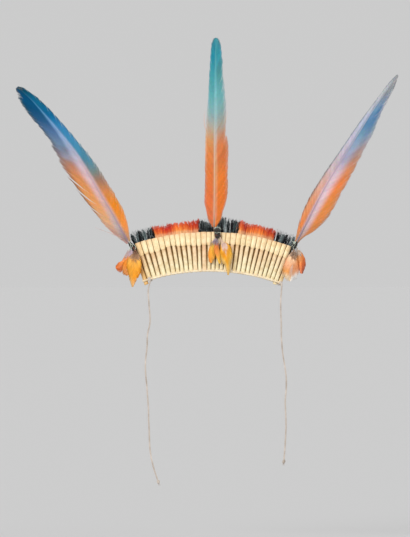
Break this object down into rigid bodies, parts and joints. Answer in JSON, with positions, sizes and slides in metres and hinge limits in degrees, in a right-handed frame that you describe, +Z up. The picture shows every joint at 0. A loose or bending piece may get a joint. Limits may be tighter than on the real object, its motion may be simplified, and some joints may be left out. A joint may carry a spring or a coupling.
{
  "type": "feathered headdress",
  "caption": "Curved headband of cream cane reeds with a short black and red feather fringe, tall macaw tail feathers, small hanging feathers and tie cords.",
  "frame": {"origin": "the middle of the band's lower edge, on the back face of its backing strip, where it rests on the forehead", "axes": "+X to the viewer's right along the band, +Y from the front to the wearer's head, +Z up"},
  "size_m": [0.5775, 0.0745, 0.67],
  "materials": {
    "cane": "dry split cane with a soft satin skin",
    "bark": "matt dark bark fibre",
    "cord": "matt hand-twisted plant fibre",
    "thread": "waxed dark thread",
    "black_feather": "black feather with a blue-green sheen",
    "red_feather": "soft matt feather, red to orange",
    "tail_feather": "satin feather, orange at the foot and blue at the tip",
    "tassel_feather": "soft matt feather, yellow-orange with a grey downy foot"
  },
  "bodies": {
    "root": {"reed_01": "cane", "reed_02": "cane", "reed_03": "cane", "reed_04": "cane", "reed_05": "cane", "reed_06": "cane", "reed_07": "cane", "reed_08": "cane", "reed_09": "cane", "reed_10": "cane", "reed_11": "cane", "reed_12": "cane", "reed_13": "cane", "reed_14": "cane", "reed_15": "cane", "reed_16": "cane", "reed_17": "cane", "reed_18": "cane", "reed_19": "cane", "reed_20": "cane", "reed_21": "cane", "reed_22": "cane", "reed_23": "cane", "reed_24": "cane", "reed_25": "cane", "reed_26": "cane", "reed_27": "cane", "reed_28": "cane", "reed_29": "cane", "reed_30": "cane", "reed_31": "cane", "reed_32": "cane", "base_cord_front": "cord", "base_cord_back": "cord", "backing_strip": "bark", "fringe_black_left": "black_feather", "fringe_black_centre_left": "black_feather", "fringe_black_centre_right": "black_feather", "fringe_black_right": "black_feather", "fringe_red_left": "red_feather", "fringe_red_right": "red_feather", "tail_feather_left": "tail_feather", "tail_feather_centre": "tail_feather", "tail_feather_right": "tail_feather", "binding_left": "thread", "binding_centre": "thread", "binding_right": "thread", "tassel_left_outer": "tassel_feather", "tassel_left_middle": "tassel_feather", "tassel_left_inner": "tassel_feather", "tassel_centre_left": "tassel_feather", "tassel_centre_middle": "tassel_feather", "tassel_centre_right": "tassel_feather", "tassel_right_inner": "tassel_feather", "tassel_right_outer": "tassel_feather", "tie_left": "cord", "tie_right": "cord", "knot_left": "cord", "knot_right": "cord"}
  },
  "joints": []
}
